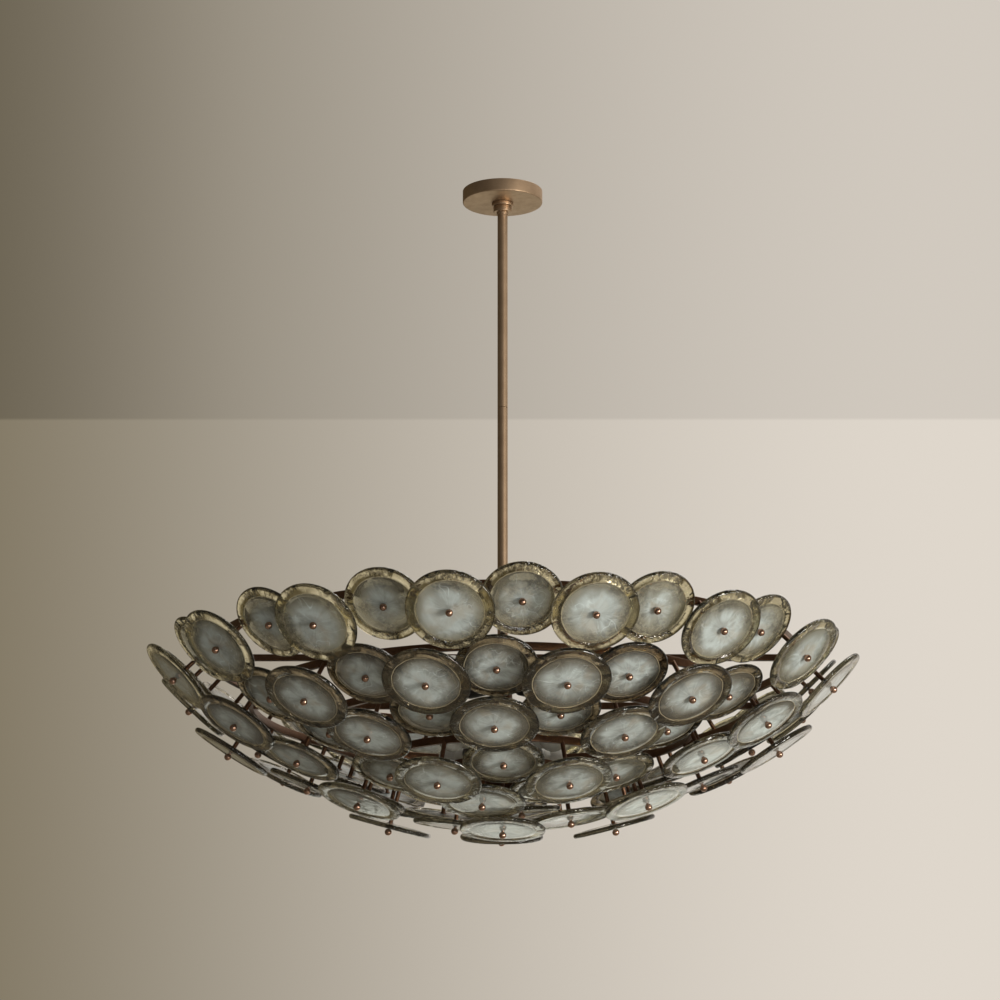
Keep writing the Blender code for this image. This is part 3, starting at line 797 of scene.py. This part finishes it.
# Hoops: one flat bronze ring for each row, its corners softened, resting on the arms' ends.
HOOP_STEPS = 160
HOOP_EDGE = 0.0010


def hoop_shape(row):
    """A ring of rounded rectangular section, turned round Z at the row's hoop radius."""
    radius, height = row["hoop_radius"], row["hoop_height"]
    half_width, half_height, edge = HOOP_WIDTH / 2, HOOP_HEIGHT / 2, HOOP_EDGE
    corners = [(1, 1, 90.0), (1, -1, 0.0), (-1, -1, -90.0), (-1, 1, -180.0)]
    section = np.concatenate([
        arc(
            (radius + sx * (half_width - edge), height + sz * (half_height - edge)),
            edge, start, start - 90.0, 4,
        )
        for sx, sz, start in corners
    ])
    return close_poles(*turn_grid(section, HOOP_STEPS))


# Stems: a bronze bar for every disc, square to it, from its hoop to the back of the glass. A
# thin washer backs the glass and a threaded stud goes on through it.
STEM_RADIUS = 0.0034
STEM_FOOT = 0.001
STUD_RADIUS = 0.0020
WASHER_RADIUS = 0.0062
WASHER_HEIGHT = 0.0012
WASHER_EDGE = 0.0003
GLASS_GAP = 0.0001
STUD_STOP = 0.003
DISC_THICKNESS = 0.0078
STEM_STEPS = 20
NUT_RADIUS = 0.0056
NUT_MIDDLE = 0.0098
NUT_NECK = 0.0023
NUT_NECK_TOP = 0.0006


def stem_outline(length):
    """Section of a stem from the stud's tip, down through the washer, to its foot."""
    back = -DISC_THICKNESS / 2
    return [
        (0.0, NUT_MIDDLE - STUD_STOP),
        (STUD_RADIUS, NUT_MIDDLE - STUD_STOP),
        (STUD_RADIUS, back - GLASS_GAP),
        (WASHER_RADIUS - WASHER_EDGE, back - GLASS_GAP),
        (WASHER_RADIUS, back - GLASS_GAP - WASHER_EDGE),
        (WASHER_RADIUS, back - WASHER_HEIGHT + WASHER_EDGE),
        (WASHER_RADIUS - WASHER_EDGE, back - WASHER_HEIGHT),
        (STEM_RADIUS, back - WASHER_HEIGHT),
        (STEM_RADIUS, -length + STEM_FOOT),
        (STEM_RADIUS, -length),
        (0.0, -length),
    ]


# Ball nuts: polished copper balls with a small flat seat, screwed down on the front of the glass.
COPPER = (0.480, 0.300, 0.220)
COPPER_DARK = (0.260, 0.150, 0.102)
NUT_STEPS = 24
NUT_SHARP_DEG = 40.0

polished_copper = brushed_metal(
    "polished_copper", COPPER, COPPER_DARK, 0.20, (300.0, 300.0, 300.0), 0.08
)


def nut_outline():
    """Section of a ball nut: a globe with a short thin neck down to the front of the glass."""
    front = DISC_THICKNESS / 2
    ball = arc((0.0, NUT_MIDDLE), NUT_RADIUS, 90.0, -66.0, 14)
    ball[0, 0] = 0.0
    seat = front + GLASS_GAP
    return [*ball, (NUT_NECK, front + NUT_NECK_TOP), (NUT_NECK, seat), (0.0, seat)]


nut_points, *nut_faces = close_poles(*turn_grid(nut_outline(), NUT_STEPS))


# Discs: thick cast glass, smoked and clear at the rim, with a round pool of cloudy opal in the
# middle that ends at a fine ring. Every one is a little uneven, as cast pieces are.
DISC_DIAMETERS = (0.1325, 0.1235)
DISC_STEPS = 72
FUSED_ROWS = 3
# Each row's smoked tint with painted shade: the rows under the top one are darker, with the
# shaded inside of the bowl behind them painted into their glass.
ROW_SMOKE_AND_SHADE = (0.12, 0.80, 0.75, 0.40, 0.25)
SMOKE_SPREAD = 0.1
LAYER_FADINGS = (-0.04, 0.15)
POOL_SHARE = 0.765
POOL_FADE = (-0.045, 0.012)
RIM_ROUND = 0.0036
CROWN_FALLS = (0.0002, 0.00025, 0.00035, 0.0004)
GROOVE_HALF_WIDTHS = (0.0012, 0.0004)
GROOVE_FALL = 0.00075
OUTER_FALLS = (0.0003, 0.00008)
MIDDLE_FLAT = 0.004
UNEVEN_SHARE = 0.012
RIPPLE_SHARE = 0.05
FULL_TURN = 6.28
SEED_REACH = 60.0
GLASS_IOR = 1.50
SKIN_DEPTH = 0.0019
# Clear glass colours. The deep ones hold painted shade, and the brink ones are painted dark
# reflections.
SMOKE_LIGHT = (0.790, 0.735, 0.510)
SMOKE_LIGHT_BRINK_REFLECTION = (0.280, 0.245, 0.160)
SMOKE_DEEP_SHADED = (0.190, 0.125, 0.060)
SMOKE_DEEP_SHADED_BRINK_REFLECTION = (0.036, 0.026, 0.016)
MILK_PAINTED_SHADE = (0.110, 0.095, 0.070)
OPAL_PALE = (0.560, 0.625, 0.610)
OPAL_GREY = (0.265, 0.285, 0.270)
OPAL_WARM = (0.390, 0.350, 0.275)
RING_CREAM = (0.700, 0.600, 0.400)


def disc_outline(radius):
    """Section of a disc: nearly flat faces, a shallow ring groove round the pool, a round rim."""
    half = DISC_THICKNESS / 2
    pool = radius * POOL_SHARE
    wide, narrow = GROOVE_HALF_WIDTHS
    front = [
        (0.0, half - CROWN_FALLS[0]),
        (MIDDLE_FLAT, half - CROWN_FALLS[0]),
        (pool * 0.4, half - CROWN_FALLS[1]),
        (pool * 0.8, half - CROWN_FALLS[2]),
        (pool - wide, half - CROWN_FALLS[3]),
        (pool - narrow, half - GROOVE_FALL),
        (pool + narrow, half - GROOVE_FALL),
        (pool + wide, half - OUTER_FALLS[0]),
        (pool + (radius - RIM_ROUND - pool) * 0.55, half - OUTER_FALLS[1]),
    ]
    rim = arc((radius - RIM_ROUND, 0.0), RIM_ROUND, 90.0, -90.0, 15)
    rim[:, 1] *= half / RIM_ROUND
    back = [(r, -h) for r, h in front[::-1]]
    return np.array([*front, *rim, *back])


def cast_disc(radius, random, smoke_and_shade, fading):
    """Points and faces of one disc, uneven as a casting is, with its smoked tint and painted
    shade and its milk's fading.

    The radius is drawn in by slow waves round the disc, a sum of a few cosines with random
    phases, and both faces carry a shallow wave across the glass.
    """
    points, *faces = close_poles(*turn_grid(disc_outline(radius), DISC_STEPS))
    angle = np.arctan2(points[:, 1], points[:, 0])
    share = np.hypot(points[:, 0], points[:, 1]) / radius
    wave = np.zeros(len(points))
    for order in (2, 3, 5):
        size = random.uniform(0.1, 0.25) / order
        wave += size * np.cos(order * angle + random.uniform(0, FULL_TURN))
    points[:, :2] *= (1.0 - UNEVEN_SHARE * (wave + 0.25) * share ** 2)[:, None]
    ripple = 0.5 + 0.5 * np.cos(3.0 * angle + random.uniform(0, FULL_TURN) + 4.0 * share)
    points[:, 2] *= 1.0 - RIPPLE_SHARE * ripple * np.clip(share * 1.4 - 0.5, 0.0, 1.0)
    return {
        "points": points,
        "faces": faces,
        "radius": radius,
        "spin": random.uniform(0.0, FULL_TURN),
        "seed": random.uniform(0.0, SEED_REACH),
        "smoke_and_shade": smoke_and_shade,
        "fading": fading,
    }


def cloud(tree, place, seed, scale, detail, distortion):
    """A noise of its own for every disc: the disc's seed is the noise's fourth dimension."""
    made = tree.nodes.new("ShaderNodeTexNoise")
    made.noise_dimensions = "4D"
    values = (place, seed, scale, detail, distortion)
    for name, value in zip(("Vector", "W", "Scale", "Detail", "Distortion"), values):
        set_input(tree, made.inputs[name], value)
    return made.outputs[0]


def disc_value(tree, name, output="Fac"):
    """One of the attributes that glass_piece writes on every point of a disc."""
    made = tree.nodes.new("ShaderNodeAttribute")
    made.attribute_name = name
    return made.outputs[output]


def opal_paleness(tree, place, heading, seed, share):
    """How pale the opal is: clouds, two sets of thin veils, rays from the middle, a dusky edge.

    A veil runs where a slow noise crosses its middle value, in patches only.
    """
    clouds = cloud(tree, place, seed, 1.7, 5.0, 1.4)
    pale = ramp(tree, clouds, 0.30, 0.72, 0.30, 0.72)
    for scale, bend, fine in ((1.1, 1.0, 0.007), (1.9, 1.6, 0.010)):
        veils = cloud(tree, place, seed, scale, 1.0, bend)
        veil_line = scalar(tree, "ABSOLUTE", scalar(tree, "SUBTRACT", veils, 0.5))
        patches = ramp(tree, cloud(tree, place, seed, scale * 0.9, 1.0, 0.0), 0.48, 0.60)
        veil = scalar(tree, "MULTIPLY", ramp(tree, veil_line, 0.0, fine, 0.40, 0.0), patches)
        pale = scalar(tree, "ADD", pale, veil, clamp=True)
    rays = cloud(tree, heading, seed, 9.0, 4.0, 0.2)
    near_middle = ramp(tree, share, 0.12, 0.70, 1.0, 0.0)
    ray = scalar(tree, "MULTIPLY", ramp(tree, rays, 0.40, 0.66, -0.05, 0.11), near_middle)
    pale = scalar(tree, "ADD", pale, ray, clamp=True)
    dusk = ramp(tree, share, 0.45, 0.78, 0.0, 0.40)
    return scalar(tree, "SUBTRACT", pale, dusk, clamp=True)


def opal_cover(tree, place, seed, share, pale):
    """How far the opal hides the clear glass: less outwards, unevenly, and more where pale."""
    uneven = ramp(tree, cloud(tree, place, seed, 0.8, 1.0, 0.0), 0.3, 0.7, -0.12, 0.12)
    fading = disc_value(tree, "disc_fading")
    faded = scalar(tree, "ADD", share, scalar(tree, "ADD", uneven, fading))
    thin = ramp(tree, faded, 0.28, 0.80, 0.95, 0.36)
    return scalar(tree, "ADD", thin, ramp(tree, pale, 0.2, 0.9, -0.10, 0.20), clamp=True)


def smoke_shade_and_reflection(tree, share, depth, dimple_shade):
    """Colour of the clear glass: its smoked tint with painted shade, a painted dark reflection at
    the brink and painted shade in the dimples.
    """
    body = blend_colours(tree, depth, SMOKE_LIGHT, SMOKE_DEEP_SHADED)
    brink = blend_colours(tree, depth, SMOKE_LIGHT_BRINK_REFLECTION, SMOKE_DEEP_SHADED_BRINK_REFLECTION)
    # The brink is painted darker: a painted dark reflection along the rim.
    smoke_and_shade = blend_colours(tree, ramp(tree, share, 0.935, 0.985), body, brink)
    return blend_colours(tree, dimple_shade, smoke_and_shade, brink)


def skin_height(tree, ripple, flutes, stipple, rough_skin, share):
    """Height of the glass's skin: ripples, radial flutes and stipple, nearly calm in the pool."""
    waves = scalar(tree, "ADD", ripple, scalar(tree, "MULTIPLY", flutes, 0.6))
    waves = scalar(tree, "MULTIPLY", waves, ramp(tree, rough_skin, 0.0, 1.0, 0.35, 1.0))
    skin = scalar(tree, "ADD", waves, scalar(tree, "MULTIPLY", stipple, rough_skin))
    return scalar(tree, "MULTIPLY", skin, ramp(tree, share, 0.74, 0.88, 0.10, 1.0))


def cast_glass():
    """The discs' glass, from the attributes disc_place, disc_seed, disc_fading and the one for
    the smoked tint with painted shade.

    disc_place is a point's place on its own disc in shares of the disc's radius. Inside the
    pool the glass is cloudy opal. Outside it is clear smoked glass with a rippled skin. A fine
    cream ring marks the border, which wanders a little.
    """
    material = bpy.data.materials.new("cast_disc_glass")
    material.use_nodes = True
    tree = material.node_tree
    link = tree.links.new
    shader = tree.nodes["Principled BSDF"]
    place = disc_value(tree, "disc_place", "Vector")
    seed = disc_value(tree, "disc_seed")
    depth = disc_value(tree, "disc_smoke_and_shade")
    flat = vectors(tree, "MULTIPLY", place, (1.0, 1.0, 0.0))[0]
    share = vectors(tree, "LENGTH", flat)["Value"]
    heading = vectors(tree, "NORMALIZE", flat)[0]

    wander = cloud(tree, place, seed, 3.0, 2.0, 0.0)
    border = scalar(tree, "MULTIPLY_ADD", wander, 0.05, -0.025)
    edge = scalar(tree, "ADD", share, border)
    fade_start, fade_end = (POOL_SHARE + shift for shift in POOL_FADE)
    pool = ramp(tree, edge, fade_start, fade_end, 1.0, 0.0)
    ring_gap = scalar(tree, "ABSOLUTE", scalar(tree, "SUBTRACT", edge, POOL_SHARE))
    ring = ramp(tree, ring_gap, 0.003, 0.012, 1.0, 0.0)
    ring = scalar(tree, "MULTIPLY", ring, ramp(tree, depth, 0.0, 0.9, 0.42, 0.80))

    pale = opal_paleness(tree, place, heading, seed, share)
    warm = ramp(tree, cloud(tree, place, seed, 2.2, 2.0, 0.5), 0.48, 0.72, 0.0, 0.55)
    opal = blend_colours(tree, pale, OPAL_GREY, OPAL_PALE)
    opal = blend_colours(tree, warm, opal, OPAL_WARM)
    milk = scalar(tree, "MULTIPLY", pool, opal_cover(tree, place, seed, share, pale))

    stipple = cloud(tree, place, seed, 13.0, 2.0, 0.6)
    rough_skin = ramp(tree, cloud(tree, place, seed, 1.6, 2.0, 0.4), 0.44, 0.60)
    # Painted shade in the stipple's dimples, on the rough patches only.
    dimple_shade = scalar(tree, "MULTIPLY", ramp(tree, stipple, 0.56, 0.44), rough_skin)
    smoke_and_shade = smoke_shade_and_reflection(tree, share, depth, dimple_shade)
    # Inside the pool the clear glass is painted darker: painted shade, seen where the opal is
    # thin.
    colour = blend_colours(tree, scalar(tree, "MULTIPLY", pool, 0.45), smoke_and_shade, MILK_PAINTED_SHADE)
    colour = blend_colours(tree, milk, colour, opal)
    link(blend_colours(tree, ring, colour, RING_CREAM), shader.inputs["Base Color"])

    veiling = scalar(tree, "MAXIMUM", milk, scalar(tree, "MULTIPLY", ring, 0.75))
    clear = scalar(tree, "SUBTRACT", 1.0, veiling, clamp=True)
    link(clear, shader.inputs["Transmission Weight"])
    shader.inputs["IOR"].default_value = GLASS_IOR

    ripple = cloud(tree, place, seed, 9.0, 3.0, 0.8)
    flutes = cloud(tree, heading, seed, 13.0, 2.0, 0.0)
    height = skin_height(tree, ripple, flutes, stipple, rough_skin, share)
    bump = node(tree, "ShaderNodeBump", Strength=1.0, Distance=SKIN_DEPTH, Height=height)
    link(bump.outputs[0], shader.inputs["Normal"])
    link(ramp(tree, ripple, 0.3, 0.7, 0.02, 0.07), shader.inputs["Roughness"])
    return material


disc_glass = cast_glass()


def glass_piece(name, discs, where):
    """One piece from several discs, with every point's place on its own disc as an attribute."""
    placed = [
        (lean_out(turned_about_z(disc["points"], disc["spin"]), *place), *disc["faces"])
        for disc, place in zip(discs, where)
    ]
    piece = new_piece(name, joined(placed), disc_glass)
    local = np.concatenate([disc["points"] / disc["radius"] for disc in discs])
    own_place = piece.data.attributes.new("disc_place", "FLOAT_VECTOR", "POINT")
    own_place.data.foreach_set("vector", local.ravel())
    for key in ("seed", "smoke_and_shade", "fading"):
        values = np.concatenate([np.full(len(disc["points"]), disc[key]) for disc in discs])
        own_value = piece.data.attributes.new("disc_" + key, "FLOAT", "POINT")
        own_value.data.foreach_set("value", values)
    return piece


def disc_nodes(row):
    """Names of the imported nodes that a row's discs stand for."""
    if row["number"] <= FUSED_ROWS:
        return [f"disc_row_{row['number']}"]
    return [
        f"row_{row['number']}_{word}_disc_{index + 1}"
        for word in ("outer", "inner")
        for index in range(row["discs"])
    ]


for row in rows:
    random = np.random.default_rng(row["number"])
    bars, nuts, discs, places = [], [], [], []
    for layer in (0, 1):
        back = layer * LAYER_STEP
        radius = row["radius"] - back * math.cos(row["tilt"])
        height = row["height"] + back * math.sin(row["tilt"])
        bar_points, *bar_faces = close_poles(
            *turn_grid(stem_outline(row["stem"] - back), STEM_STEPS)
        )
        for index in range(row["discs"]):
            turn = row["turn"] + (index + layer / 2) * 2.0 * math.pi / row["discs"]
            where = (radius, height, row["tilt"], turn)
            bars.append((lean_out(bar_points, *where), *bar_faces))
            nuts.append((lean_out(nut_points, *where), *nut_faces))
            # A disc's tint is its row's smoked tint with painted shade, plus a random spread of
            # the glass's own.
            smoke_and_shade = ROW_SMOKE_AND_SHADE[row["number"] - 1] + random.uniform(-SMOKE_SPREAD, SMOKE_SPREAD)
            fading = LAYER_FADINGS[layer] * (1.0 - smoke_and_shade)
            discs.append(cast_disc(DISC_DIAMETERS[layer] / 2, random, smoke_and_shade, fading))
            places.append(where)
    label = f"row_{row['number']}"
    metal = new_piece(label + "_hoop_and_stems", joined([hoop_shape(row), *bars]), satin_bronze)
    balls = new_piece(label + "_ball_nuts", joined(nuts), polished_copper)
    glass = glass_piece(label + "_glass_discs", discs, places)
    sharpen(metal)
    sharpen(balls, NUT_SHARP_DEG)
    for piece, slot_name in ((metal, "bronze"), (balls, "bronze"), (glass, "smoked_glass")):
        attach(piece, "hanging_bowl")
    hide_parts(*disc_nodes(row))
    if row["number"] > FUSED_ROWS:
        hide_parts(label + "_frame")


# Centre disc: the lowest one, on a stem with a plug that goes up into the column's foot. The
# disc has settled a little askew on its nut, down at the back and on the right.
CENTRE_SEED = 9
# The centre disc's smoked tint is deepened with painted shade too.
CENTRE_SMOKE_AND_SHADE = 0.60
CENTRE_SAG_DEG = 3.4
CENTRE_SAG_TURN_DEG = -30.0
PLUG_LENGTH = 0.018
PLUG_FLANGE = 0.004
PLUG_EDGE = 0.0008
centre_height = -BOWL_TOP_DROP - BOWL_DEPTH
flange_face = centre_height - (column_foot - FIT)
plug_radius = COLUMN_RADIUS - COLUMN_WALL - FIT
centre_outline = [
    *stem_outline(0.0)[:8],
    (STEM_RADIUS, flange_face + PLUG_FLANGE),
    (COLUMN_RADIUS - PLUG_EDGE, flange_face + PLUG_FLANGE),
    (COLUMN_RADIUS, flange_face + PLUG_FLANGE - PLUG_EDGE),
    (COLUMN_RADIUS, flange_face),
    (plug_radius, flange_face),
    (plug_radius, flange_face - PLUG_LENGTH),
    (0.0, flange_face - PLUG_LENGTH),
]
centre_where = (0.0, centre_height, math.radians(90.0), 0.0)
bar_points, *bar_faces = close_poles(*turn_grid(centre_outline, STEM_STEPS * 2))
centre_metal = new_piece(
    "centre_stem_bar", (lean_out(bar_points, *centre_where), *bar_faces), satin_bronze
)
centre_ball = new_piece(
    "centre_ball_nut", (lean_out(nut_points, *centre_where), *nut_faces), polished_copper
)
centre_disc = cast_disc(
    DISC_DIAMETERS[0] / 2, np.random.default_rng(CENTRE_SEED), CENTRE_SMOKE_AND_SHADE, LAYER_FADINGS[0]
)
centre_askew = (
    0.0,
    centre_height,
    math.radians(90.0 - CENTRE_SAG_DEG),
    math.radians(CENTRE_SAG_TURN_DEG),
)
centre_glass = glass_piece("centre_glass_disc", [centre_disc], [centre_askew])
for piece, slot_name in (
    (centre_metal, "bronze"), (centre_ball, "bronze"), (centre_glass, "smoked_glass")
):
    sharpen(piece, NUT_SHARP_DEG)
    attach(piece, "hanging_bowl")
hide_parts("centre_stem")
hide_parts("centre_disc")
